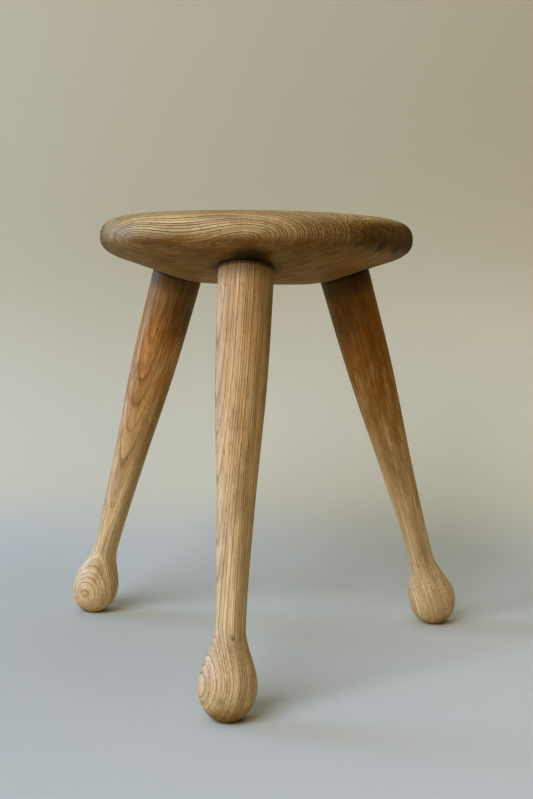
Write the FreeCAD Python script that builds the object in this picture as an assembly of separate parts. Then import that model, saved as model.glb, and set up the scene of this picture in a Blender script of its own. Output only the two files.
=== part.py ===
import FreeCAD, Part

import math
import os

from FreeCAD import Vector

# Three-legged milking stool in turned softwood, in millimetres, +Z up.
#
# The seat is two boards glued edge to edge and turned to a disc. Its underside is
# a shallow cone around a flat middle, and the slope of the cone is the splay of
# the legs, so the square shoulder of each leg beds on it. Each leg is one turned
# piece: tenon, shoulder, long taper, thin neck and ball foot. The tenons go right
# through the seat, and a hardwood wedge in a saw kerf spreads each one.
#
# The stool stands on Z = 0. The origin is on the floor at the centre of the
# stool's overall plan box, and the front leg points along -Y.

# --- Seat -------------------------------------------------------------------
SEAT_HEIGHT = 419.0  # floor to the top of the seat
SEAT_DIAMETER = 300.0
SEAT_THICKNESS = 62.0  # at the flat middle of the underside
RIM_THICKNESS = 32.5  # where the cone of the underside would meet the rim
RIM_WIDEST = 0.6  # share of the rim's thickness above its widest line
TOP_ROUNDING = 36.0  # how far in the upper rounding of the rim starts
TOP_FULLNESS = 1.17  # how closely it hugs the corner: 0.71 on a quarter circle
LOWER_ROUNDING = 22.0  # how far along the cone the lower rounding ends
LOWER_FULLNESS = 1.15
MIDDLE_BLEND = 19.5  # from the corner between cone and flat, along each of them
MIDDLE_FULLNESS = 0.95
GRAIN_ANGLE = 76.0  # grain and glue joint, anticlockwise from the front leg
JOINT_OFFSET = 94.0  # glue joint, forwards of the seat's centre

# --- Legs -------------------------------------------------------------------
LEG_ANGLES = {"front": 0.0, "right": 120.0, "left": 240.0}  # anticlockwise from above
SPLAY = 18.4  # from the vertical, and the slope of the underside too
SHOULDER_CIRCLE = 194.0  # diameter where the leg axes meet the underside
SHOULDER_DIAMETER = 50.0
SHOULDER_BREAK = 0.8  # worn arris of the shoulder
UPPER_SHAFT_DIAMETER = 45.4  # a third of the way from the shoulder to the neck
LOWER_SHAFT_DIAMETER = 33.2  # two thirds of the way
NECK_DIAMETER = 25.6
NECK_RISE = 77.0  # from the tip of the ball, along the leg
BALL_DIAMETER = 49.2
BALL_RISE = 29.0  # its widest line, from the tip of the ball
FOOT_WEAR = 0.6  # how far the floor has worn into the tip

# --- Joints -----------------------------------------------------------------
TENON_DIAMETER = 28.0
TENON_CLEARANCE = 0.05  # all round, filled with glue
WEDGE_HEAD = 4.0  # thickness at the seat's top
WEDGE_TIP = 1.2
WEDGE_LENGTH = 32.0
KERF_DEPTH = 40.0  # saw cut below the seat's top, along the leg

# --- Values that follow -------------------------------------------------------
UP = Vector(0, 0, 1)
OUT = Vector(1, 0, 0)
QUARTER_ROUND = math.sqrt(0.5)  # fullness that makes a quarter of an ellipse
PAST = 20.0  # how far a cutter runs past what it cuts
SLOPE = math.radians(SPLAY)
SEAT_RADIUS = SEAT_DIAMETER / 2
SHOULDER_RADIUS = SHOULDER_CIRCLE / 2
CONE_EDGE_HEIGHT = SEAT_HEIGHT - RIM_THICKNESS
MIDDLE_HEIGHT = SEAT_HEIGHT - SEAT_THICKNESS
SHOULDER_HEIGHT = CONE_EDGE_HEIGHT - (SEAT_RADIUS - SHOULDER_RADIUS) * math.tan(SLOPE)
LEG_LENGTH = SHOULDER_HEIGHT / math.cos(SLOPE) + FOOT_WEAR
TOP_ALONG_LEG = (SEAT_HEIGHT - SHOULDER_HEIGHT) / math.cos(SLOPE)


def at(radius, height):
    """A point of an outline that is turned about the Z axis."""
    return Vector(radius, 0, height)


def rounding(start, corner, end, fullness):
    """A conic from start to end that leans into the corner between them."""
    curve = Part.BezierCurve()
    curve.setPoles([start, corner, end])
    curve.setWeight(2, fullness)
    return curve.toShape()


def line(start, end):
    """A straight edge."""
    return Part.LineSegment(start, end).toShape()


def turned(edges):
    """The solid that a closed outline sweeps about the Z axis."""
    return Part.Face(Part.Wire(edges)).revolve(Vector(), UP, 360)


def level(angle):
    """The level direction at an angle from the front leg."""
    turn = math.radians(angle)
    return Vector(math.sin(turn), -math.cos(turn), 0)


def seat_disc():
    """The seat as it leaves the lathe, before it is bored."""
    rim_top = at(SEAT_RADIUS, SEAT_HEIGHT)
    rim_low = at(SEAT_RADIUS, CONE_EDGE_HEIGHT)
    widest = at(SEAT_RADIUS, SEAT_HEIGHT - RIM_THICKNESS * RIM_WIDEST)
    along_cone = Vector(-math.cos(SLOPE), 0, -math.sin(SLOPE))
    corner = at(SEAT_RADIUS - (SEAT_THICKNESS - RIM_THICKNESS) / math.tan(SLOPE), MIDDLE_HEIGHT)
    top_start = rim_top - OUT * TOP_ROUNDING
    cone_start = rim_low + along_cone * LOWER_ROUNDING
    cone_end = corner - along_cone * MIDDLE_BLEND
    flat_start = corner - OUT * MIDDLE_BLEND
    return turned(
        [
            line(at(0, SEAT_HEIGHT), top_start),
            rounding(top_start, rim_top, widest, TOP_FULLNESS),
            rounding(widest, rim_low, cone_start, LOWER_FULLNESS),
            line(cone_start, cone_end),
            rounding(cone_end, corner, flat_start, MIDDLE_FULLNESS),
            line(flat_start, at(0, MIDDLE_HEIGHT)),
            line(at(0, MIDDLE_HEIGHT), at(0, SEAT_HEIGHT)),
        ]
    )


def leg_place(angle):
    """Where a leg stands: its own frame has the shoulder at Z = 0 and the foot below."""
    outward = level(angle)
    axis = UP * math.cos(SLOPE) - outward * math.sin(SLOPE)
    shoulder = outward * SHOULDER_RADIUS + UP * SHOULDER_HEIGHT
    return FreeCAD.Placement(shoulder, FreeCAD.Rotation(outward, Vector(), axis, "ZXY"))


def turned_leg():
    """A leg in its own frame, with a tenon that is still too long."""
    tenon_top = TOP_ALONG_LEG + PAST
    tenon = TENON_DIAMETER / 2
    shoulder = SHOULDER_DIAMETER / 2
    neck = at(NECK_DIAMETER / 2, NECK_RISE - LEG_LENGTH)
    ball = at(BALL_DIAMETER / 2, BALL_RISE - LEG_LENGTH)
    tip = at(0, -LEG_LENGTH)
    shaft_top = at(shoulder, -SHOULDER_BREAK)
    shaft_upper = at(UPPER_SHAFT_DIAMETER / 2, neck.z / 3)
    shaft_lower = at(LOWER_SHAFT_DIAMETER / 2, neck.z * 2 / 3)
    shaft = Part.BSplineCurve()
    shaft.interpolate(
        Points=[shaft_top, shaft_upper, shaft_lower, neck],
        InitialTangent=shaft_upper - shaft_top,
        FinalTangent=-UP,
    )
    third = UP * (neck.z - ball.z) / 3
    flare = Part.BezierCurve()
    flare.setPoles([neck, neck - third, ball + third, ball])
    return turned(
        [
            line(at(0, tenon_top), at(tenon, tenon_top)),
            line(at(tenon, tenon_top), at(tenon, 0)),
            line(at(tenon, 0), at(shoulder - SHOULDER_BREAK, 0)),
            rounding(at(shoulder - SHOULDER_BREAK, 0), at(shoulder, 0), shaft_top, QUARTER_ROUND),
            shaft.toShape(),
            flare.toShape(),
            rounding(ball, at(ball.x, tip.z), tip, QUARTER_ROUND),
            line(tip, at(0, tenon_top)),
        ]
    )


def between(low, high):
    """A slab wider than the stool, between two heights."""
    reach = SEAT_HEIGHT + SEAT_DIAMETER
    return Part.makeBox(2 * reach, 2 * reach, high - low, Vector(-reach, -reach, low))


def mortise(angle):
    """The bore for a tenon, right through the seat."""
    bore = Part.makeCylinder(
        TENON_DIAMETER / 2 + TENON_CLEARANCE, TOP_ALONG_LEG + 2 * PAST, -UP * PAST, UP
    )
    bore.Placement = leg_place(angle)
    return bore


def taper(angle, past_top, kerf):
    """The wedge's taper through a whole tenon, with the saw kerf under it if kerf is true.

    It lies square to the seat's grain, so that the wedge presses along the grain.
    """
    head = WEDGE_HEAD / 2
    tip = WEDGE_TIP / 2
    tip_height = TOP_ALONG_LEG - WEDGE_LENGTH
    grown = head + (head - tip) * past_top / WEDGE_LENGTH
    half = [(grown, TOP_ALONG_LEG + past_top), (tip, tip_height)]
    if kerf:
        half.append((tip, TOP_ALONG_LEG - KERF_DEPTH))
    corners = [Vector(x, -TENON_DIAMETER, z) for x, z in half]
    corners += [Vector(-x, -TENON_DIAMETER, z) for x, z in reversed(half)]
    section = Part.Face(Part.makePolygon(corners + corners[:1]))
    solid = section.extrude(Vector(0, 2 * TENON_DIAMETER, 0))
    place = leg_place(angle)
    grain = place.Rotation.inverted().multVec(level(GRAIN_ANGLE))
    solid.rotate(Vector(), UP, math.degrees(math.atan2(grain.y, grain.x)))
    solid.Placement = place.multiply(solid.Placement)
    return solid


def leg(angle):
    """A leg in the stool: flat where it stands, flush with the seat and kerfed."""
    solid = turned_leg()
    solid.Placement = leg_place(angle)
    return solid.common(between(0, SEAT_HEIGHT)).cut(taper(angle, PAST, True))


def wedge(angle):
    """The wedge that fills the kerf's taper, trimmed to the round of the tenon."""
    tenon = Part.makeCylinder(TENON_DIAMETER / 2, TOP_ALONG_LEG + PAST)
    tenon.Placement = leg_place(angle)
    return taper(angle, PAST, False).common(tenon).common(between(0, SEAT_HEIGHT))


def seat_boards():
    """The two boards of the seat, parted at the glue joint and bored for the tenons."""
    disc = seat_disc()
    for angle in LEG_ANGLES.values():
        disc = disc.cut(mortise(angle))
    half_space = Part.makeBox(
        2 * SEAT_DIAMETER, 2 * SEAT_DIAMETER, 2 * SEAT_HEIGHT, Vector(-JOINT_OFFSET, -SEAT_DIAMETER, 0)
    )
    half_space.rotate(Vector(), UP, GRAIN_ANGLE)
    return {"seat_board_back": disc.common(half_space), "seat_board_front": disc.cut(half_space)}


def stool():
    """Every piece by its name, about the seat's axis."""
    pieces = seat_boards()
    for name, angle in LEG_ANGLES.items():
        pieces["leg_" + name] = leg(angle)
        pieces["wedge_" + name] = wedge(angle)
    return pieces


pieces = stool()
box = Part.makeCompound(list(pieces.values())).optimalBoundingBox(False, False)
to_origin = Vector(-box.Center.x, -box.Center.y, 0)
os.makedirs("parts", exist_ok=True)
for name, shape in pieces.items():
    shape.translate(to_origin)
    shape.exportStep("parts/" + name + ".step")
    print(name, "solids", len(shape.Solids), "valid", shape.isValid(), "volume", round(shape.Volume))
print("seat axis", to_origin, "size", box.XLength, box.YLength, box.ZLength)
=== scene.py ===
# %% [markdown]
# # A three-legged milking stool in old pine
#
# The stool is eight pieces of wood: two boards glued into a round seat, three
# turned legs with ball feet, and three small wedges that spread the legs' tenons
# in the seat. Each round piece is made here as a lathe makes it: half of its
# outline is drawn once and spun about an axis. The wood is made as growth rings
# that run right through each piece, so every cut shows the grain that it should.

# %% Load the measured model
import math
from collections import namedtuple

import bmesh
import bpy
from mathutils import Euler, Matrix, Vector


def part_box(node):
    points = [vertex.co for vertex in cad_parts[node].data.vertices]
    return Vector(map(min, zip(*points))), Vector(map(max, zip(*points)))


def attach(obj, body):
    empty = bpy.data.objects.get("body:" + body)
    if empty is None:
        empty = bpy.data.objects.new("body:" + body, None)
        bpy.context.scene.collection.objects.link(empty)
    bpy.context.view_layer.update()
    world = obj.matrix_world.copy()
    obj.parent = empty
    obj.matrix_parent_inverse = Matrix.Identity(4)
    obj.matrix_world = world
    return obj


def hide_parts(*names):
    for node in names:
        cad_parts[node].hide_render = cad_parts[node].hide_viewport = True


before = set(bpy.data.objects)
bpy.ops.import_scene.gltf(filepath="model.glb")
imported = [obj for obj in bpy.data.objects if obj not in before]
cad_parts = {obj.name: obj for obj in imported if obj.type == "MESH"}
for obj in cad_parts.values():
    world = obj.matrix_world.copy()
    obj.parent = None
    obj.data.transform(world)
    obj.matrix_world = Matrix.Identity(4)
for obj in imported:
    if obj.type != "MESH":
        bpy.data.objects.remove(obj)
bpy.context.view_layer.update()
MM = 0.001
print("pieces in the model:", sorted(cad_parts))

# %% [markdown]
# ## Where things are
#
# The boxes of the seat's two boards give its axis, its radius, its top and its
# underside. Every other size of the stool is written once here, in millimetres
# times `MM`, because Blender counts in metres. A round part is given by its
# radius, as a lathe works from the middle.

# %% Sizes of the seat
BOARD_NODES = ("seat_board_front", "seat_board_back")
low = [min(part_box(n)[0][i] for n in BOARD_NODES) for i in range(3)]
high = [max(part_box(n)[1][i] for n in BOARD_NODES) for i in range(3)]
SEAT_RADIUS = (high[0] - low[0]) / 2
SEAT_TOP = high[2]
SEAT_UNDER = low[2]
SEAT_AXIS = Vector(((low[0] + high[0]) / 2, (low[1] + high[1]) / 2, 0))
RIM_DEPTH = 32.5 * MM  # from the top down to where the cone below would meet the rim
WIDEST = 0.6  # the share of that depth at which the seat is widest
TOP_ROUNDING = 36 * MM  # how far in from the rim the upper curve starts
LOWER_ROUNDING = 22 * MM  # how far along the cone the lower curve ends
MIDDLE_BLEND = 19.5 * MM  # how far the curve between cone and flat reaches each way
GRAIN_TURN = math.radians(76)  # where the grain and the glue joint point, from the front leg
JOINT_OFFSET = 94 * MM  # from the seat's axis to the joint, towards the front
JOINT_EASE = 0.08 * MM  # taken off the joint's edges
print("seat radius", round(SEAT_RADIUS, 4), "top", round(SEAT_TOP, 4), "axis", SEAT_AXIS)

# %% Sizes of the legs and their wedges
LEG_TURN = {"front": 0.0, "right": math.radians(120), "left": math.radians(240)}
SPLAY = math.radians(18.4)
SHOULDER_REACH = 97 * MM  # from the seat's axis to the middle of a shoulder
SHOULDER_HEIGHT = SEAT_TOP - RIM_DEPTH - (SEAT_RADIUS - SHOULDER_REACH) * math.tan(SPLAY)
FOOT_TRIM = 0.6 * MM  # how far the tip reaches past the floor before the foot is cut flat
LEG_LENGTH = SHOULDER_HEIGHT / math.cos(SPLAY) + FOOT_TRIM
TOP_ALONG_LEG = (SEAT_TOP - SHOULDER_HEIGHT) / math.cos(SPLAY)
SHOULDER = 25 * MM
SHOULDER_EASE = 0.8 * MM
UPPER_SHAFT = 22.7 * MM
LOWER_SHAFT = 16.6 * MM
NECK = 12.8 * MM
NECK_RISE = 77 * MM  # above the tip
BALL = 24.6 * MM
BALL_RISE = 29 * MM  # above the tip
TENON = 14 * MM
TENON_SPARE = 20 * MM  # left on above the seat, and sawn off flush
BORE_EASE = 0.05 * MM  # room round each tenon
WEDGE_HEAD = 4 * MM  # thickness at the seat's top
WEDGE_TIP = 1.2 * MM
WEDGE_LENGTH = 32 * MM
KERF_DEPTH = 40 * MM  # the saw cut for the wedge, from the seat's top
KERF_MOUTH = 6 * MM  # its width where the cutter ends, above the seat
KERF_SPARE = 10 * MM  # how far above the seat that is
print("leg from shoulder to tip", round(LEG_LENGTH / MM, 1), "mm")


# %% Directions and places
def level(turn):
    """The level direction at a turn from the front leg, anticlockwise from above."""
    return Vector((math.sin(turn), -math.cos(turn), 0))


def leg_place(turn):
    """The place of a leg that was made upright with its shoulder at the origin."""
    outward = level(turn)
    up = Vector((0, 0, 1))
    axis = up * math.cos(SPLAY) - outward * math.sin(SPLAY)
    across = axis.cross(outward).normalized()
    forward = across.cross(axis)
    turned = Matrix((forward, across, axis)).transposed().to_4x4()
    return Matrix.Translation(SEAT_AXIS + outward * SHOULDER_REACH + up * SHOULDER_HEIGHT) @ turned


# %% [markdown]
# ## Turning wood
#
# A turner cuts one outline while the wood spins. `turn` does the same: it takes
# the outline as points of radius and height, joins them and spins the line. An
# outline is made from straight runs and from `rounding`, a curve that leans into
# a corner. Its fullness says how closely: 0.7 is a quarter circle, and more is
# squarer, as a hand-eased edge is.


# %% Lathe helpers
OUTLINE_STEP = 2 * MM
SAME_POINT = 0.001 * MM
ON_THE_CUT = 0.0001 * MM


def run(start, end, step):
    """Points along a straight line, about one step apart, without the last."""
    count = max(1, round((Vector(end) - Vector(start)).length / step))
    return [Vector(start).lerp(Vector(end), i / count) for i in range(count)]


def rounding(start, corner, end, fullness, count):
    """Points on a conic from start to end, without the last."""
    points = []
    for i in range(count):
        t = i / count
        weights = ((1 - t) ** 2, 2 * fullness * t * (1 - t), t * t)
        mixed = sum((Vector(p) * w for p, w in zip((start, corner, end), weights)), Vector((0, 0)))
        points.append(mixed / sum(weights))
    return points


def turn(outline, steps):
    """Spins an outline of (radius, height) points about the upright axis into a closed shape."""
    bm = bmesh.new()
    verts = [bm.verts.new((p[0], 0, p[1])) for p in outline]
    edges = [bm.edges.new(pair) for pair in zip(verts, verts[1:])]
    bmesh.ops.spin(
        bm, geom=verts + edges, axis=(0, 0, 1), cent=(0, 0, 0), steps=steps, angle=math.tau, use_merge=True
    )
    bmesh.ops.remove_doubles(bm, verts=bm.verts, dist=SAME_POINT)
    bmesh.ops.recalc_face_normals(bm, faces=bm.faces)
    return bm


def saw(bm, point, normal):
    """Cuts a shape with a plane, drops what lies on the normal's side and closes the cut."""
    cut = bmesh.ops.bisect_plane(
        bm,
        geom=bm.verts[:] + bm.edges[:] + bm.faces[:],
        dist=ON_THE_CUT,
        plane_co=point,
        plane_no=normal,
        clear_outer=True,
    )
    edges = [e for e in cut["geom_cut"] if isinstance(e, bmesh.types.BMEdge)]
    bmesh.ops.edgeloop_fill(bm, edges=edges)
    return edges


# %% [markdown]
# A finished shape becomes a piece: an object at the origin whose place is in its
# mesh. It rides on the stool's one body and stands for the plain model's piece of
# the same name.


# %% Piece helpers
SHARP = math.radians(40)
ROD_SIDES = 96


def to_object(name, bm):
    """A mesh object from a bmesh, smooth except at its sharp edges."""
    mesh = bpy.data.meshes.new(name)
    bm.to_mesh(mesh)
    bm.free()
    mesh.shade_smooth()
    mesh.set_sharp_from_angle(angle=SHARP)
    made = bpy.data.objects.new(name, mesh)
    bpy.context.scene.collection.objects.link(made)
    return made


def finish_piece(made, node):
    """Ties an object to the stool in place of one of the model's pieces."""
    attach(made, "root")
    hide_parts(node)
    print(made.name, len(made.data.polygons), "faces")
    return made


def cut_with(made, cutters):
    """Cuts closed shapes out of an object, then throws them away."""
    for cutter in cutters:
        bore = made.modifiers.new("cut", "BOOLEAN")
        bore.operation = "DIFFERENCE"
        bore.solver = "MANIFOLD"
        bore.object = cutter
    bpy.context.view_layer.update()
    ready = bpy.data.meshes.new_from_object(made.evaluated_get(bpy.context.evaluated_depsgraph_get()))
    made.modifiers.clear()
    made.data = ready
    for cutter in cutters:
        bpy.data.objects.remove(cutter)
    ready.set_sharp_from_angle(angle=SHARP)


def rod(radius, length, middle):
    """An upright rod, with its middle at a height above the leg's shoulder."""
    bm = bmesh.new()
    bmesh.ops.create_cone(
        bm, cap_ends=True, segments=ROD_SIDES, radius1=radius, radius2=radius, depth=length
    )
    bmesh.ops.translate(bm, verts=bm.verts, vec=(0, 0, middle))
    return bm


# %% [markdown]
# ## The seat
#
# The rim is widest below its middle. Above that line it is one long full curve
# into the flat top; below, a tighter one turns under into a shallow cone that
# the legs' shoulders bed on. The disc is spun whole, sawn along the glue joint
# into its two boards, and bored for the tenons.


# %% The seat's outline
def seat_outline(step):
    """The outline of the seat from the middle of its top to the middle of its underside."""
    slope = Vector((-math.cos(SPLAY), -math.sin(SPLAY)))
    rim_low = Vector((SEAT_RADIUS, SEAT_TOP - RIM_DEPTH))
    rim_top = Vector((SEAT_RADIUS, SEAT_TOP))
    widest = Vector((SEAT_RADIUS, SEAT_TOP - RIM_DEPTH * WIDEST))
    corner = Vector((SEAT_RADIUS - (rim_low.y - SEAT_UNDER) / math.tan(SPLAY), SEAT_UNDER))
    top_start = rim_top - Vector((TOP_ROUNDING, 0))
    cone_start = rim_low + slope * LOWER_ROUNDING
    cone_end = corner - slope * MIDDLE_BLEND
    flat_start = corner - Vector((MIDDLE_BLEND, 0))
    return (
        run((0, SEAT_TOP), top_start, step * 2)
        + rounding(top_start, rim_top, widest, fullness=1.17, count=36)
        + rounding(widest, rim_low, cone_start, fullness=1.15, count=30)
        + run(cone_start, cone_end, step * 2)
        + rounding(cone_end, corner, flat_start, fullness=0.95, count=10)
        + run(flat_start, (0, SEAT_UNDER), step * 2)
        + [Vector((0, SEAT_UNDER))]
    )


# %% Saw, place and bore the two boards
def bore_cutter(turned):
    """A rod along a leg's axis, right through the seat."""
    bm = rod(TENON + BORE_EASE, TOP_ALONG_LEG * 3, TOP_ALONG_LEG / 2)
    bmesh.ops.transform(bm, matrix=leg_place(turned), verts=bm.verts)
    return to_object("cutter", bm)


def seat_board(name, side):
    """One board of the seat; side is 1 behind the joint and -1 in front of it."""
    bm = turn(seat_outline(OUTLINE_STEP), steps=360)
    across = level(GRAIN_TURN + math.pi / 2)
    sawn = saw(bm, -across * JOINT_OFFSET, -across * side)
    bmesh.ops.bevel(
        bm, geom=sawn, offset=JOINT_EASE, segments=1, profile=0.5, affect="EDGES", material=-1
    )
    bmesh.ops.translate(bm, verts=bm.verts, vec=SEAT_AXIS)
    board = to_object(name + "_board", bm)
    cut_with(board, [bore_cutter(turned) for turned in LEG_TURN.values()])
    return finish_piece(board, "seat_board_" + name)


boards = {"front": seat_board("front", -1), "back": seat_board("back", 1)}


# %% [markdown]
# ## The legs
#
# One outline serves all three: a tenon, a square shoulder, a shaft that swells
# slightly and then tapers to a thin neck, and a ball foot. The shaft's curve
# goes through its measured radii, and its slope is worked out at each of them.


# %% The leg's outline
def through(knots, slopes, step):
    """Points on a smooth curve through (height, radius) knots, as (radius, height)."""
    points = []
    for (a, b), (sa, sb) in zip(zip(knots, knots[1:]), zip(slopes, slopes[1:])):
        span = b[0] - a[0]
        count = max(1, round(abs(span) / step))
        for i in range(count):
            t = i / count
            radius = (
                a[1] * (2 * t**3 - 3 * t**2 + 1)
                + b[1] * (3 * t**2 - 2 * t**3)
                + span * (sa * (t**3 - 2 * t**2 + t) + sb * (t**3 - t**2))
            )
            points.append(Vector((radius, a[0] + span * t)))
    return points


def leg_outline(step):
    """The outline of a leg from the top of its tenon to the tip of its foot."""
    top = TOP_ALONG_LEG + TENON_SPARE
    tip = -LEG_LENGTH
    neck = tip + NECK_RISE
    ball = tip + BALL_RISE
    shoulder_edge = (SHOULDER, -SHOULDER_EASE)
    knots = [shoulder_edge[::-1], (neck / 3, UPPER_SHAFT), (neck * 2 / 3, LOWER_SHAFT), (neck, NECK)]
    fall = [(a[1] - b[1]) / (a[0] - b[0]) for a, b in zip(knots, knots[1:])]
    # The swell under the shoulder: the shaft starts a fifth less steep than its first stretch falls.
    slopes = [fall[0] * 0.8, (fall[0] + fall[1]) / 2, (fall[1] + fall[2]) / 2, 0]
    return (
        run((0, top), (TENON, top), step * 2)
        + run((TENON, top), (TENON, 0), step * 2)
        + run((TENON, 0), (SHOULDER - SHOULDER_EASE, 0), step)
        + rounding((SHOULDER - SHOULDER_EASE, 0), (SHOULDER, 0), shoulder_edge, fullness=0.71, count=3)
        + through(knots, slopes, step)
        + through([(neck, NECK), (ball, BALL)], [0, 0], step)
        + rounding((BALL, ball), (BALL, tip), (0, tip), fullness=0.7071, count=24)
        + [Vector((0, tip))]
    )


# %% Make the legs
def kerf_cutter(turned):
    """The cut for a wedge as a solid: a saw kerf that opens towards the seat's top."""
    top = TOP_ALONG_LEG
    half = [
        (KERF_MOUTH / 2, top + KERF_SPARE),
        (WEDGE_TIP / 2, top - WEDGE_LENGTH),
        (WEDGE_TIP / 2, top - KERF_DEPTH),
    ]
    bm = bmesh.new()
    verts = [bm.verts.new((x, -TENON * 2, z)) for x, z in half]
    verts += [bm.verts.new((-x, -TENON * 2, z)) for x, z in reversed(half)]
    face = bm.faces.new(verts)
    grown = bmesh.ops.extrude_face_region(bm, geom=[face])
    moved = [v for v in grown["geom"] if isinstance(v, bmesh.types.BMVert)]
    bmesh.ops.translate(bm, verts=moved, vec=(0, TENON * 4, 0))
    bmesh.ops.recalc_face_normals(bm, faces=bm.faces)
    place = leg_place(turned)
    grain = place.to_3x3().inverted() @ level(GRAIN_TURN)
    bmesh.ops.rotate(bm, verts=bm.verts, matrix=Matrix.Rotation(math.atan2(grain.y, grain.x), 3, "Z"))
    bmesh.ops.transform(bm, matrix=place, verts=bm.verts)
    return to_object("kerf", bm)


def leg(name):
    """One leg in its place, flat on the floor and flush with the seat."""
    bm = turn(leg_outline(OUTLINE_STEP), steps=96)
    bmesh.ops.transform(bm, matrix=leg_place(LEG_TURN[name]), verts=bm.verts)
    saw(bm, (0, 0, SEAT_TOP), (0, 0, 1))
    saw(bm, (0, 0, 0), (0, 0, -1))
    made = to_object(name + "_leg", bm)
    cut_with(made, [kerf_cutter(LEG_TURN[name])])
    return finish_piece(made, "leg_" + name)


legs = {name: leg(name) for name in LEG_TURN}

# %% [markdown]
# ## The wedges
#
# A wedge is driven into the end of each tenon and spreads it until it cannot be
# pulled out. It stands square to the seat's grain, so that it presses along the
# boards and doesn't split them. A rod of the tenon's own size gives the rounded
# ends, and three saw cuts give the taper and the tip.


# %% Make the wedges
def wedge(name):
    """A wedge, sawn to a taper and trimmed to the round of its tenon."""
    bm = rod(TENON, TOP_ALONG_LEG * 2, TOP_ALONG_LEG)
    place = leg_place(LEG_TURN[name])
    grain = place.to_3x3().inverted() @ level(GRAIN_TURN)
    thick = Vector((grain.x, grain.y, 0)).normalized()
    tip = Vector((0, 0, TOP_ALONG_LEG - WEDGE_LENGTH))
    lean = (WEDGE_HEAD - WEDGE_TIP) / 2 / WEDGE_LENGTH
    for side in (1, -1):
        saw(bm, tip + thick * side * WEDGE_TIP / 2, thick * side - Vector((0, 0, lean)))
    saw(bm, tip, (0, 0, -1))
    bmesh.ops.transform(bm, matrix=place, verts=bm.verts)
    saw(bm, (0, 0, SEAT_TOP), (0, 0, 1))
    return finish_piece(to_object(name + "_wedge", bm), "wedge_" + name)


wedges = {name: wedge(name) for name in LEG_TURN}

# %% [markdown]
# ## Wood that grew
#
# A board or a leg is a cut through a tree. The tree is built first, as rings
# about a pith line, and the piece's own place in the tree decides the rest: long
# lines where the cut runs with the grain, arcs where it crosses it, a bull's eye
# where it only grazes the rings. So the patterns are solid ones, in millimetres,
# with the pith along Z, and a Mapping node puts each piece where it was sawn.


# %% Node helpers
def srgb(red, green, blue):
    """A colour as a paint chart gives it, from 0 to 255, as the linear one that a shader takes."""
    parts = [c / 255 for c in (red, green, blue)]
    return (*[c / 12.92 if c < 0.04 else ((c + 0.055) / 1.055) ** 2.4 for c in parts], 1)


def feed(tree, value, socket):
    """Links a socket to another one, or sets its value."""
    if isinstance(value, bpy.types.NodeSocket):
        tree.links.new(value, socket)
    else:
        socket.default_value = value


def node(tree, kind, inputs, **settings):
    """A new node, with its settings and its inputs by name or number."""
    made = tree.nodes.new("ShaderNode" + kind)
    for name, value in settings.items():
        setattr(made, name, value)
    for key, value in inputs.items():
        feed(tree, value, made.inputs[key])
    return made


def calc(tree, operation, *values):
    """The result of a sum on numbers or sockets."""
    return node(tree, "Math", dict(enumerate(values)), operation=operation).outputs[0]


def product(tree, first, *others):
    """Numbers or sockets multiplied together."""
    result = first
    for value in others:
        result = calc(tree, "MULTIPLY", result, value)
    return result


def ease(tree, value, low, high, start=0.0, end=1.0):
    """Start below low, end above high, and smooth between them."""
    inputs = dict(enumerate((value, low, high, start, end)))
    return node(tree, "MapRange", inputs, interpolation_type="SMOOTHSTEP").outputs[0]


def mix(tree, factor, first, second, how="MIX"):
    """One colour laid over another; the node's colours are its inputs 6 and 7."""
    made = node(tree, "Mix", {0: factor, 6: first, 7: second}, data_type="RGBA", blend_type=how)
    return made.outputs[2]


def times(tree, colour, amount):
    """A colour made darker or paler by a number."""
    grey = node(tree, "CombineXYZ", {0: amount, 1: amount, 2: amount}).outputs[0]
    return mix(tree, 1.0, colour, grey, "MULTIPLY")


def vector(tree, operation, *values):
    """The result of a sum on vectors."""
    return node(tree, "VectorMath", dict(enumerate(values)), operation=operation).outputs[0]


def stretched(tree, place, across, along, detail=2.0, rough=0.5):
    """Noise with one size across the grain and another along it, both in millimetres."""
    scale = (1 / across, 1 / across, 1 / along)
    scaled = node(tree, "Mapping", {"Vector": place, "Scale": scale}).outputs[0]
    settings = {"Vector": scaled, "Scale": 1.0, "Detail": detail, "Roughness": rough}
    return node(tree, "TexNoise", settings).outputs


def new_group(name, inputs, outputs):
    """An empty node group with named sockets, and its two end nodes."""
    tree = bpy.data.node_groups.new(name, "ShaderNodeTree")
    for label, kind, value in inputs:
        socket = tree.interface.new_socket(label, in_out="INPUT", socket_type="NodeSocket" + kind)
        socket.default_value = value
    for label, kind in outputs:
        tree.interface.new_socket(label, in_out="OUTPUT", socket_type="NodeSocket" + kind)
    return tree, tree.nodes.new("NodeGroupInput").outputs, tree.nodes.new("NodeGroupOutput").inputs


# %% [markdown]
# Pine lays down pale, soft wood in spring and a thin dark line in late summer.
# The line begins gently and ends sharply, and no two years are alike. A slow
# noise lets the trunk wander, so that the rings are not perfect circles, and a
# quicker one ripples them. "Summer" is how much of a year has gone by before the
# dark line starts.


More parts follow.
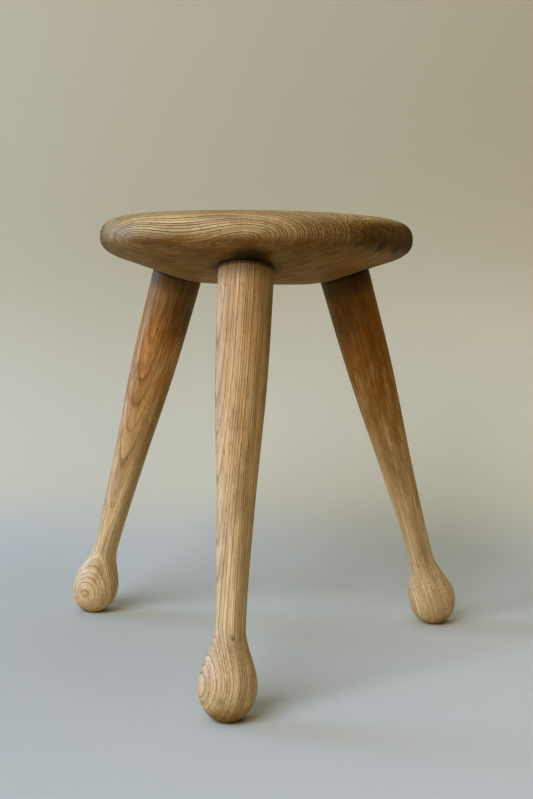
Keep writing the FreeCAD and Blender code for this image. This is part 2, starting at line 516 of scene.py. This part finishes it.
# %% Growth rings
def make_rings():
    """The group that says how dark the year's growth is at a point."""
    tree, given, out = new_group(
        "growth rings",
        [
            ("Vector", "Vector", (0, 0, 0)),
            ("Ring Width", "Float", 3.0),
            ("Wander", "Float", 5.0),
            ("Ripple", "Float", 0.5),
            ("Summer", "Float", 0.6),
        ],
        [("Late", "Float"), ("Tone", "Float"), ("Radius", "Float")],
    )
    slow = stretched(tree, given["Vector"], across=60, along=170, detail=1.0)
    shift = vector(tree, "SUBTRACT", slow["Color"], (0.5, 0.5, 0.5))
    moved = node(tree, "VectorMath", {0: shift, "Scale": given["Wander"]}, operation="SCALE").outputs[0]
    spot = vector(tree, "ADD", given["Vector"], moved)
    x, y, _ = node(tree, "SeparateXYZ", {0: spot}).outputs
    radius = calc(tree, "SQRT", calc(tree, "ADD", product(tree, x, x), product(tree, y, y)))
    years = calc(tree, "DIVIDE", radius, given["Ring Width"])
    settings = {"W": years, "Scale": 0.23, "Detail": 1.0}
    good_years = node(tree, "TexNoise", settings, noise_dimensions="1D").outputs[0]
    ripple = stretched(tree, given["Vector"], across=7, along=60)[0]
    rippled = product(tree, ripple, given["Ripple"])
    uneven = calc(tree, "ADD", product(tree, good_years, 3.0), rippled)
    age = calc(tree, "ADD", years, uneven)
    season = calc(tree, "FRACT", age)
    tone = node(tree, "TexWhiteNoise", {"W": calc(tree, "FLOOR", age)}, noise_dimensions="1D").outputs[0]
    begin = calc(tree, "ADD", given["Summer"], ease(tree, tone, 0, 1, -0.15, 0.15))
    rise = ease(tree, season, begin, 0.90)
    fall = ease(tree, season, 0.93, 1.0, 1.0, 0.0)
    feed(tree, product(tree, rise, fall), out["Late"])
    feed(tree, tone, out["Tone"])
    feed(tree, radius, out["Radius"])
    print("made the group", tree.name)
    return tree


RINGS = make_rings()


# %% [markdown]
# Close up, wood is a bundle of fibres. Seen from the side they are short fine
# streaks; seen from the end they are specks. One noise, long in the direction of
# the grain, gives both. "Length" draws the fine streaks out, for a leg's long
# straight fibres.


# %% Fibres
def make_fibres():
    """The group for fine streaks along the grain, broad streaks and dark flecks."""
    tree, given, out = new_group(
        "fibres",
        [("Vector", "Vector", (0, 0, 0)), ("Length", "Float", 1.0)],
        [("Fine", "Float"), ("Broad", "Float"), ("Flecks", "Float")],
    )
    squeeze = calc(tree, "DIVIDE", 1.0, given["Length"])
    longer = node(tree, "CombineXYZ", {0: 1.0, 1: 1.0, 2: squeeze}).outputs[0]
    spun = vector(tree, "MULTIPLY", given["Vector"], longer)
    feed(tree, stretched(tree, spun, across=0.8, along=20, rough=0.55)[0], out["Fine"])
    feed(tree, stretched(tree, given["Vector"], across=5, along=90)[0], out["Broad"])
    specks = stretched(tree, given["Vector"], across=0.9, along=7, detail=1.0)[0]
    feed(tree, ease(tree, specks, 0.62, 0.72), out["Flecks"])
    print("made the group", tree.name)
    return tree


FIBRES = make_fibres()


# %% [markdown]
# Old bare pine is never one colour. Handling has darkened it and light has
# bleached it. The last group lays these over the grain: end grain drinks in dirt
# and goes darker, broad stains drift across, and the raised late wood polishes
# smoother than the soft wood beside it. It also lays painted shade over the
# colour, in uneven patches, on faces that look down and near the seat. Each part
# of that has its own short function, and the group joins them.


# %% What age does to the colour
def worn_tone_and_painted_shade(tree, given, end):
    """How pale a point is: its year, its fibres, its flecks, the pith, the open pores, and the painted
    shade and dark marks that its Shade input brings.
    """
    year = ease(tree, given["Tone"], 0, 1, 0.88, 1.08)
    fine = ease(tree, given["Fine"], 0.3, 0.7, -0.55, 0.45)
    broad = ease(tree, given["Broad"], 0.3, 0.7, -0.4, 0.27)
    streaks = calc(tree, "ADD", product(tree, calc(tree, "ADD", fine, broad), given["Grit"]), 1.0)
    flecks = ease(tree, given["Flecks"], 0, 1, 1.0, 0.72)
    pith = ease(tree, given["Radius"], 1.0, 4.0, 0.7, 1.0)
    open_grain = stretched(tree, given["Vector"], across=2.2, along=12, detail=3.0, rough=0.7)[0]
    pores = product(tree, ease(tree, open_grain, 0.36, 0.64, -1.1, 0.45), product(tree, end, given["Grit"]))
    return product(tree, year, given["Shade"], streaks, flecks, pith, calc(tree, "ADD", pores, 1.0))


def worn_and_shaded_colour(tree, given, end):
    """The colour of the rings, shaded, stained, and darkened in uneven patches by painted shade."""
    dark_part = product(tree, given["Late"], given["Contrast"])
    colour = mix(tree, dark_part, given["Early Wood"], given["Late Wood"])
    colour = times(tree, colour, worn_tone_and_painted_shade(tree, given, end))
    drift = stretched(tree, given["Vector"], across=24, along=60, detail=3.0, rough=0.6)[0]
    stain = product(tree, ease(tree, drift, 0.45, 0.72), given["Stain Amount"])
    colour = mix(tree, stain, colour, given["Stain"])
    colour = mix(tree, end, colour, given["End Tint"], "MULTIPLY")
    patches = stretched(tree, given["Vector"], across=7, along=26, detail=4.0, rough=0.65)[0]
    grime = product(tree, given["Grime"], ease(tree, patches, 0.35, 0.65, 0.75, 1.12))
    return mix(tree, grime, colour, given["Grime Tint"], "MULTIPLY")


# %% What age does to the surface
def worn_roughness(tree, given, end):
    """Late wood is polished, and the hollows between fibres and the end grain stay dull."""
    polish = ease(tree, given["Late"], 0, 1, 0.50, 0.38)
    hollows = ease(tree, given["Fine"], 0.3, 0.7, 0.08, 0)
    return calc(tree, "ADD", calc(tree, "ADD", polish, hollows), product(tree, end, 0.12))


def worn_height(tree, given, end):
    """Late wood stands up, fibres stand up a little, more so on end grain, and flecks are pits."""
    ridge = product(tree, given["Late"], 0.10)
    grit = product(tree, given["Fine"], ease(tree, end, 0, 1, 0.10, 0.22))
    pits = product(tree, given["Flecks"], -0.08)
    return calc(tree, "ADD", calc(tree, "ADD", ridge, grit), pits)


# %% Age
def make_age():
    """The group that turns rings and fibres into the colour, gloss and relief of old pine, with painted
    shade laid over the colour.
    """
    tree, given, out = new_group(
        "old pine",
        [
            ("Late", "Float", 0.0),
            ("Tone", "Float", 0.5),
            ("Radius", "Float", 50.0),
            ("Fine", "Float", 0.5),
            ("Broad", "Float", 0.5),
            ("Flecks", "Float", 0.0),
            ("End Grain", "Float", 0.0),
            ("Vector", "Vector", (0, 0, 0)),
            ("Early Wood", "Color", srgb(205, 170, 120)),
            ("Late Wood", "Color", srgb(140, 98, 55)),
            ("Contrast", "Float", 0.8),
            ("Stain", "Color", srgb(120, 84, 50)),
            ("Stain Amount", "Float", 0.3),
            ("End Tint", "Color", srgb(200, 182, 154)),
            ("Grit", "Float", 0.3),
            ("Shade", "Float", 1.0),
            ("Grime", "Float", 0.0),
            ("Grime Tint", "Color", srgb(176, 148, 104)),
        ],
        [("Color", "Color"), ("Roughness", "Float"), ("Height", "Float")],
    )
    end = ease(tree, given["End Grain"], 0.35, 0.95)
    feed(tree, worn_and_shaded_colour(tree, given, end), out["Color"])
    feed(tree, worn_roughness(tree, given, end), out["Roughness"])
    feed(tree, worn_height(tree, given, end), out["Height"])
    print("made the group", tree.name)
    return tree


AGE = make_age()

# %% [markdown]
# ## A finish for each piece
#
# Every piece gets its own finish, because each was sawn from its own place in a
# tree. The three groups do the work, and the finish says where the piece is
# painted darker: on faces that look down and near the seat, as painted shade, and
# in round spots, some of them painted shade by the legs and some dark marks in the
# wood. A spot is full as far as `inner` and gone at `outer`, both in millimetres;
# its shade is what is left of the light there. Faces that look down also keep
# less of their lines and streaks.

# %% What a finish is told
Growth = namedtuple("Growth", "ring_width wander ripple summer")
# A spot darkens the colour round a point; some spots are painted shade and some are dark marks in the wood.
ShadeAndDirtSpot = namedtuple("ShadeAndDirtSpot", "middle inner outer shade")
RELIEF = 1.8 * MM  # how high the grain would stand where its height is 1
GLOSS = 0.6  # as if it were waxed by hands; bare wood has 0.5
SEAT_SHADE = 0.08  # the share of the light that the painted shade takes off next to the seat at full strength
LINES_BELOW = 0.35  # the share of its lines that a face keeps when it looks down
STREAKS_BELOW = 0.4  # the same for its streaks


def fill_in(tree, group, values):
    """Feeds a group's inputs from values with the same names in lower case."""
    for key, value in values.items():
        feed(tree, value, group.inputs[key.replace("_", " ").title()])


# %% Where a piece is dark
def facing(tree, normal, direction):
    """How squarely a surface faces a direction, from -1 to 1."""
    inputs = {0: normal, 1: direction}
    return node(tree, "VectorMath", inputs, operation="DOT_PRODUCT").outputs["Value"]


def painted_shade_on(tree, down, height, under_painted_shade, top_painted_shade):
    """Painted shade, as a darker colour, on faces that look down and on the wood near the seat."""
    under = ease(tree, down, -0.15, 0.6, 0, under_painted_shade)
    near_seat = ease(tree, height, SEAT_UNDER * 0.12, SEAT_UNDER * 0.92, 0, top_painted_shade)
    return calc(tree, "MAXIMUM", under, near_seat)


def shade_on(tree, place, height, top_painted_shade, shade_and_dirt_spots):
    """One on clean wood; less next to the seat, as painted shade, and in each spot, some of which are
    painted shade and some dark marks.
    """
    shade = ease(tree, height, SEAT_UNDER * 0.7, SEAT_UNDER * 1.04, 1.0, 1.0 - top_painted_shade * SEAT_SHADE)
    for shade_and_dirt_spot in shade_and_dirt_spots:
        apart = node(tree, "VectorMath", {0: place, 1: shade_and_dirt_spot.middle}, operation="DISTANCE")
        reach = (shade_and_dirt_spot.inner * MM, shade_and_dirt_spot.outer * MM)
        spot = ease(tree, apart.outputs["Value"], *reach, shade_and_dirt_spot.shade, 1.0)
        shade = product(tree, spot, shade)
    return shade


# %% The finish
def pine(name, tree_place, growth, look, under_painted_shade=0, top_painted_shade=0, shade_and_dirt_spots=(), fibre_length=1.0):
    """A pine finish; tree_place takes the stool's metres to the tree's, pith along Z."""
    mat = bpy.data.materials.new(name)
    mat.use_nodes = True
    tree = mat.node_tree
    coords = node(tree, "TexCoord", {}).outputs
    move, spin, _ = tree_place.decompose()
    to_tree = {"Location": move / MM, "Rotation": spin.to_euler(), "Scale": (1 / MM, 1 / MM, 1 / MM)}
    sawn = node(tree, "Mapping", {"Vector": coords["Object"], **to_tree}).outputs[0]
    rings = node(tree, "Group", {}, node_tree=RINGS)
    fill_in(tree, rings, {"vector": sawn, **growth._asdict()})
    fibres = node(tree, "Group", {}, node_tree=FIBRES)
    fill_in(tree, fibres, {"vector": sawn, "length": fibre_length})
    aged = node(tree, "Group", {}, node_tree=AGE)
    for source in (rings, fibres):
        for socket in source.outputs:
            feed(tree, socket, aged.inputs[socket.name])
    grain = tree_place.to_3x3().inverted() @ Vector((0, 0, 1))
    down = facing(tree, coords["Normal"], (0, 0, -1))
    height = node(tree, "SeparateXYZ", {0: coords["Object"]}).outputs["Z"]
    own = {
        "vector": sawn,
        "end_grain": calc(tree, "ABSOLUTE", facing(tree, coords["Normal"], grain)),
        "grime": painted_shade_on(tree, down, height, under_painted_shade, top_painted_shade),
        "shade": shade_on(tree, coords["Object"], height, top_painted_shade, shade_and_dirt_spots),
        "contrast": ease(tree, down, 0.0, 0.45, look["contrast"], look["contrast"] * LINES_BELOW),
        "grit": ease(tree, down, 0.1, 0.6, look["grit"], look["grit"] * STREAKS_BELOW),
    }
    fill_in(tree, aged, {**look, **own})
    shader = tree.nodes["Principled BSDF"]
    feed(tree, aged.outputs["Color"], shader.inputs["Base Color"])
    feed(tree, aged.outputs["Roughness"], shader.inputs["Roughness"])
    bump = node(tree, "Bump", {"Strength": 1.0, "Distance": RELIEF, "Height": aged.outputs["Height"]})
    feed(tree, bump.outputs[0], shader.inputs["Normal"])
    shader.inputs["Specular IOR Level"].default_value = GLOSS
    return mat


def dress(piece, finish):
    """Gives a piece its finish."""
    piece.data.materials.clear()
    piece.data.materials.append(finish)
    print(piece.name, "is finished in", finish.name)


# %% [markdown]
# ## The seat's boards
#
# The front board has its tree's pith inside it, running almost along the glue
# joint, so the curved rim cuts the rings into long loops. The back board's pith
# is lower and nearer the seat's middle, so its rim shows arcs, and speckled end
# grain where it faces along the joint. Round spots paint shade into the corners
# round the legs and beside the front leg, put two dark marks on the rim, and
# darken the right end, partly as painted shade and partly as dirt.


# %% The boards' place in the tree
def board_in_tree(drift, pith_across, pith_depth, dip):
    """Takes the stool's frame to a tree whose pith runs nearly along the joint, below the seat's top."""
    across = level(GRAIN_TURN + drift + math.pi / 2)
    up = Vector((0, 0, 1))
    pith = SEAT_AXIS + across * pith_across + up * (SEAT_TOP - pith_depth)
    axes = Matrix((across, up, across.cross(up))).to_4x4()
    return Matrix.Rotation(dip, 4, "X") @ axes @ Matrix.Translation(-pith)


def on_rim(turned, reach, depth):
    """A point by its turn from the front leg, its reach from the seat's axis and its depth."""
    return SEAT_AXIS + level(math.radians(turned)) * reach * MM + Vector((0, 0, SEAT_TOP - depth * MM))


FRONT_TREE = board_in_tree(
    drift=math.radians(-6), pith_across=-140 * MM, pith_depth=28 * MM, dip=math.radians(1.7)
)
BACK_TREE = board_in_tree(drift=0, pith_across=-60 * MM, pith_depth=47 * MM, dip=0)
print("the seat's axis, as the front board's tree has it", FRONT_TREE @ SEAT_AXIS)

# %% The boards' finish
# Painted shade round each leg's shoulder on the seat's underside.
SEAT_SHADE_AND_DIRT_SPOTS = [
    ShadeAndDirtSpot(leg_place(turned).translation, inner=26, outer=36, shade=0.45) for turned in LEG_TURN.values()
]
SEAT_SHADE_AND_DIRT_SPOTS += [
    # painted shade beside the front leg's top
    ShadeAndDirtSpot(on_rim(3, 128, 39), inner=6, outer=27, shade=0.12),
    # two dark marks on the rim
    ShadeAndDirtSpot(on_rim(54, 146, 30), inner=2, outer=9, shade=0.25),
    ShadeAndDirtSpot(on_rim(66, 146, 31), inner=2, outer=10, shade=0.3),
    # the rim's right end, darker partly as painted shade and partly as dirt
    ShadeAndDirtSpot(on_rim(92, 148, 34), inner=28, outer=72, shade=0.45),
]
SEAT_LOOK = {
    "early_wood": srgb(200, 172, 128),
    "late_wood": srgb(94, 64, 35),
    # The third colour is the brown of the painted shade on the seat's underside.
    "grime_tint": srgb(176, 141, 91),
}
front_growth = Growth(ring_width=1.6, wander=4.0, ripple=0.4, summer=0.6)
front_look = {**SEAT_LOOK, "contrast": 1.0, "grit": 0.28}
front_pine = pine(
    "seat_pine_front", FRONT_TREE, front_growth, front_look, under_painted_shade=0.95, shade_and_dirt_spots=SEAT_SHADE_AND_DIRT_SPOTS
)
dress(boards["front"], front_pine)
back_growth = Growth(ring_width=1.4, wander=5.0, ripple=0.5, summer=0.6)
back_look = {**SEAT_LOOK, "contrast": 0.6, "grit": 0.5, "end_tint": srgb(182, 156, 114)}
back_pine = pine(
    "seat_pine_back", BACK_TREE, back_growth, back_look, under_painted_shade=0.9, shade_and_dirt_spots=SEAT_SHADE_AND_DIRT_SPOTS
)
dress(boards["back"], back_pine)


# %% [markdown]
# ## The legs' wood
#
# A leg is turned from a square billet sawn 70 to 80 mm from the pith, so its
# rings run down its length as nearly straight lines. Where the taper cuts slowly
# through them they open into tall arches, and on the side of the ball they close
# into a bull's eye. The pith leans a little against each leg, which moves the
# arches.


# %% The legs' place in the tree
def leg_in_tree(name, pith_turn, pith_reach, lean):
    """Takes the stool's frame to a tree whose pith runs beside a leg, leaning a little."""
    upright = leg_place(LEG_TURN[name]).inverted()
    middle = Matrix.Translation((0, 0, LEG_LENGTH / 2))
    pith = Vector((math.cos(pith_turn), math.sin(pith_turn), 0)) * pith_reach
    tilt = Euler((*lean, 0)).to_matrix().to_4x4()
    return tilt @ Matrix.Translation(-pith) @ middle @ upright


def by_leg(name, rise, right, front):
    """A point by its height up a leg from the foot, and its offsets to the right and to the front."""
    on_axis = leg_place(LEG_TURN[name]) @ Vector((0, 0, rise * MM - LEG_LENGTH))
    return on_axis + Vector((right, -front, 0)) * MM


LEG_TREES = {
    "front": leg_in_tree("front", math.radians(118), 75 * MM, lean=(0.004, 0.006)),
    "right": leg_in_tree("right", math.radians(335), 80 * MM, lean=(0.004, -0.004)),
    "left": leg_in_tree("left", math.radians(285), 70 * MM, lean=(-0.004, 0.006)),
}
SHOULDER_PLACE = {name: leg_place(turned).translation for name, turned in LEG_TURN.items()}
print("shoulders at", SHOULDER_PLACE)

# %% The legs' colours and smudges
# Each leg's second colour is the brown of the painted shade near the seat.
LEG_COLOURS = {
    "front": {"early_wood": srgb(224, 193, 150), "grime_tint": srgb(222, 188, 146)},
    # The back legs' early wood is paler than the front leg's: painted light that makes up for the light
    # that falls off towards them.
    "right": {"early_wood": srgb(234, 203, 160), "grime_tint": srgb(192, 148, 80)},
    "left": {"early_wood": srgb(234, 203, 160), "grime_tint": srgb(200, 155, 90)},
}
LEG_RINGS = {"front": 1.9, "right": 2.0, "left": 2.0}
# How strongly each leg is painted with shade next to the seat, where the seat shades it.
LEG_PAINTED_SHADE = {"front": 0.5, "right": 1.1, "left": 0.9}
LEG_SHADE_AND_DIRT_SPOTS = {
    "front": [
        # painted shade under the shoulder and down the right of the leg's top
        ShadeAndDirtSpot(SHOULDER_PLACE["front"], inner=25, outer=32, shade=0.72),
        ShadeAndDirtSpot(by_leg("front", rise=350, right=30, front=0), inner=5, outer=34, shade=0.7),
        # a darker patch on the neck, then small dark specks on the foot
        ShadeAndDirtSpot(by_leg("front", rise=66, right=6, front=14), inner=3, outer=26, shade=0.82),
        ShadeAndDirtSpot(by_leg("front", rise=20, right=-19, front=14), inner=0.8, outer=3.0, shade=0.45),
        ShadeAndDirtSpot(by_leg("front", rise=14, right=4, front=20), inner=0.8, outer=3.2, shade=0.5),
        ShadeAndDirtSpot(by_leg("front", rise=71, right=4, front=14), inner=0.5, outer=2.6, shade=0.6),
        ShadeAndDirtSpot(by_leg("front", rise=24, right=-3, front=24), inner=1, outer=5, shade=0.75),
    ],
    "right": [
        # painted shade under the shoulder and down the left of the leg's top
        ShadeAndDirtSpot(SHOULDER_PLACE["right"], inner=25, outer=36, shade=0.35),
        ShadeAndDirtSpot(by_leg("right", rise=348, right=-28, front=6), inner=12, outer=56, shade=0.62),
    ],
    "left": [
        # painted shade under the shoulder and down the right of the leg's top
        ShadeAndDirtSpot(SHOULDER_PLACE["left"], inner=25, outer=34, shade=0.5),
        ShadeAndDirtSpot(by_leg("left", rise=346, right=33, front=8), inner=16, outer=52, shade=0.42),
    ],
}

# %% The legs' finish
for name, made in legs.items():
    # A thin painted shadow along each shoulder's edge, where the leg meets the seat.
    shoulder_shadow_line = ShadeAndDirtSpot(SHOULDER_PLACE[name], inner=25, outer=25.4, shade=0.35)
    look = {**LEG_COLOURS[name], "late_wood": srgb(142, 98, 60), "contrast": 0.5, "grit": 0.32}
    finish = pine(
        "leg_pine_" + name,
        LEG_TREES[name],
        Growth(ring_width=LEG_RINGS[name], wander=1.0, ripple=0.15, summer=0.72),
        look,
        top_painted_shade=LEG_PAINTED_SHADE[name],
        shade_and_dirt_spots=[*LEG_SHADE_AND_DIRT_SPOTS[name], shoulder_shadow_line],
        fibre_length=9.0,
    )
    dress(made, finish)

# %% [markdown]
# The wedges are a harder, darker wood with closer rings. They take the same
# finish with darker colours, and stay clean, because the seat's top is rubbed.

# %% The wedges' finish
WEDGE_GROWTH = Growth(ring_width=1.2, wander=2.0, ripple=0.3, summer=0.6)
WEDGE_LOOK = {"early_wood": srgb(140, 96, 58), "late_wood": srgb(100, 64, 38), "contrast": 0.5, "grit": 0.3}
for name, made in wedges.items():
    place = leg_in_tree(name, pith_turn=0.3, pith_reach=90 * MM, lean=(0, 0))
    dress(made, pine("wedge_wood_" + name, place, WEDGE_GROWTH, WEDGE_LOOK))

# %% [markdown]
# ## Floor, wall, light and camera
#
# The stool stands on a pale sweep: a floor that bends up into a wall, so that no
# corner shows behind it. From behind, the sheet can be seen through, so that the
# stool shows from every side.


# %% A pale sweep
FLOOR = (0.57, 0.585, 0.525, 1)
WALL_FOOT = (0.65, 0.62, 0.485, 1)
WALL = (0.575, 0.515, 0.375, 1)
BEND = 0.5
BEND_STEPS = 16
WALL_BEHIND = 0.75  # from the seat's axis
SWEEP_HALF = 3.0


def limewash(name):
    """A pale finish, warmer on the wall than on the floor, with painted light that pales the floor towards
    the right; it can be seen through from behind.
    """
    mat = bpy.data.materials.new(name)
    mat.use_nodes = True
    tree = mat.node_tree
    across, _, height = node(tree, "SeparateXYZ", {0: node(tree, "TexCoord", {}).outputs["Object"]}).outputs
    foot_of_wall = mix(tree, ease(tree, height, 0.0, 0.08), FLOOR, WALL_FOOT)
    colour = mix(tree, ease(tree, height, 0.08, 0.45), foot_of_wall, WALL)
    # Painted light: the floor gets paler towards the right, fading out up the wall.
    painted_light_to_right = product(tree, ease(tree, across, -0.35, 0.55), ease(tree, height, 0.1, 0.7, 0.27, 0.0))
    shader = tree.nodes["Principled BSDF"]
    feed(tree, times(tree, colour, calc(tree, "ADD", painted_light_to_right, 1.0)), shader.inputs["Base Color"])
    shader.inputs["Roughness"].default_value = 0.9
    behind = node(tree, "NewGeometry", {}).outputs["Backfacing"]
    clear = node(tree, "BsdfTransparent", {}).outputs[0]
    seen = node(tree, "MixShader", {0: behind, 1: shader.outputs[0], 2: clear}).outputs[0]
    feed(tree, seen, tree.nodes["Material Output"].inputs["Surface"])
    return mat


def sweep():
    """A floor and a wall joined by a bend, as one sheet that faces up and forward."""
    bm = bmesh.new()
    wall = SEAT_AXIS.y + WALL_BEHIND
    points = [Vector((-SWEEP_HALF, 0)), Vector((wall - BEND, 0))]
    for i in range(1, BEND_STEPS + 1):
        angle = math.pi / 2 * i / BEND_STEPS
        points.append(Vector((wall - BEND + BEND * math.sin(angle), BEND - BEND * math.cos(angle))))
    points.append(Vector((wall, SWEEP_HALF)))
    verts = [bm.verts.new((-SWEEP_HALF, p[0], p[1])) for p in points]
    edges = [bm.edges.new(pair) for pair in zip(verts, verts[1:])]
    grown = bmesh.ops.extrude_edge_only(bm, edges=edges)
    moved = [v for v in grown["geom"] if isinstance(v, bmesh.types.BMVert)]
    bmesh.ops.translate(bm, verts=moved, vec=(2 * SWEEP_HALF, 0, 0))
    bm.normal_update()
    if min(face.normal.z for face in bm.faces) < -0.5:
        bmesh.ops.reverse_faces(bm, faces=bm.faces)
    made = to_object("sweep", bm)
    made.data.materials.append(limewash("sweep"))
    return made


backdrop = sweep()
print("the floor and wall have", len(backdrop.data.polygons), "faces")

# %% [markdown]
# A big soft light in front and to the left stands for a window, a small cool one
# at the left picks out the edges there, and a weak one over the right of the
# floor keeps it from going dull. Each is a square that faces its own point. The
# room itself adds a little warm light, which keeps the shadows brown.


# %% Lights
def soft_light(name, place, aim, size, power, colour):
    """A square soft light that faces a point."""
    lamp = bpy.data.lights.new(name, "AREA")
    lamp.size = size
    lamp.energy = power
    lamp.color = colour
    made = bpy.data.objects.new(name, lamp)
    made.location = place
    made.rotation_euler = (Vector(aim) - Vector(place)).to_track_quat("-Z", "Y").to_euler()
    bpy.context.scene.collection.objects.link(made)
    print(name, "light,", power, "watts")


soft_light("window", (-1.25, -2.1, 1.9), (0, 0, 0.2), size=2.2, power=64, colour=(0.93, 0.98, 1.03))
soft_light("ceiling", (0.9, 0.2, 2.3), (0.9, 0.2, 0), size=2.0, power=6, colour=(1.0, 1.0, 1.0))
soft_light("side_window", (-1.9, 0.5, 0.6), (0, 0, 0.25), size=1.0, power=13, colour=(0.55, 0.9, 1.35))
room = bpy.data.worlds.new("room")
room.use_nodes = True
room_light = room.node_tree.nodes["Background"].inputs
room_light["Color"].default_value = (1.0, 0.8, 0.55, 1)
room_light["Strength"].default_value = 0.16
bpy.context.scene.world = room

# %% [markdown]
# A paper print deepens its darks more than its lights, and blue most of all, so
# its shadows turn brown. Three curves in the view settings do the same, one each
# for red, green and blue. The contrast is the power each is raised to, and the
# gain brings the lights back up.

# %% A print's contrast
PRINT_CONTRAST = (1.25, 1.30, 1.52)
PRINT_GAIN = (1.26, 1.34, 1.98)
PRINT_POINTS = (0.01, 0.03, 0.07, 0.12, 0.2, 0.3, 0.42, 0.52)
show = bpy.context.scene.view_settings
show.view_transform = "Standard"
show.use_curve_mapping = True
tones = show.curve_mapping
for curve, contrast, gain in zip(tones.curves, PRINT_CONTRAST, PRINT_GAIN):
    for light in PRINT_POINTS:
        curve.points.new(light, gain * light**contrast)
tones.update()
print("print contrast", PRINT_CONTRAST)

# %% [markdown]
# The camera stands just below the seat's height and nearly four seat widths in
# front of it, a little to the right of the front leg. It looks slightly down and
# is tipped by less than a degree.

# %% Camera
CAMERA_SIDE = 0.0926  # its turn from the front leg, to the right
CAMERA_DISTANCE = 7.6905 * SEAT_RADIUS
CAMERA_HEIGHT = 2.2785 * SEAT_RADIUS
CAMERA_YAW = 0.00995 - CAMERA_SIDE
CAMERA_PITCH = -0.0840
CAMERA_ROLL = 0.0123
lens = bpy.data.cameras.new("camera")
lens.sensor_width = 36
lens.lens = 53.336
camera = bpy.data.objects.new("camera", lens)
camera.location = SEAT_AXIS + level(CAMERA_SIDE) * CAMERA_DISTANCE + Vector((0, 0, CAMERA_HEIGHT))
level_gaze = math.cos(CAMERA_PITCH)
gaze = Vector(
    (math.sin(CAMERA_YAW) * level_gaze, math.cos(CAMERA_YAW) * level_gaze, math.sin(CAMERA_PITCH))
)
beside = Vector((math.cos(CAMERA_YAW), -math.sin(CAMERA_YAW), 0))
above = beside.cross(gaze)
right = beside * math.cos(CAMERA_ROLL) + above * math.sin(CAMERA_ROLL)
upward = above * math.cos(CAMERA_ROLL) - beside * math.sin(CAMERA_ROLL)
camera.rotation_euler = Matrix((right, upward, -gaze)).transposed().to_euler()
bpy.context.scene.collection.objects.link(camera)
bpy.context.scene.camera = camera
print("camera at", camera.location)
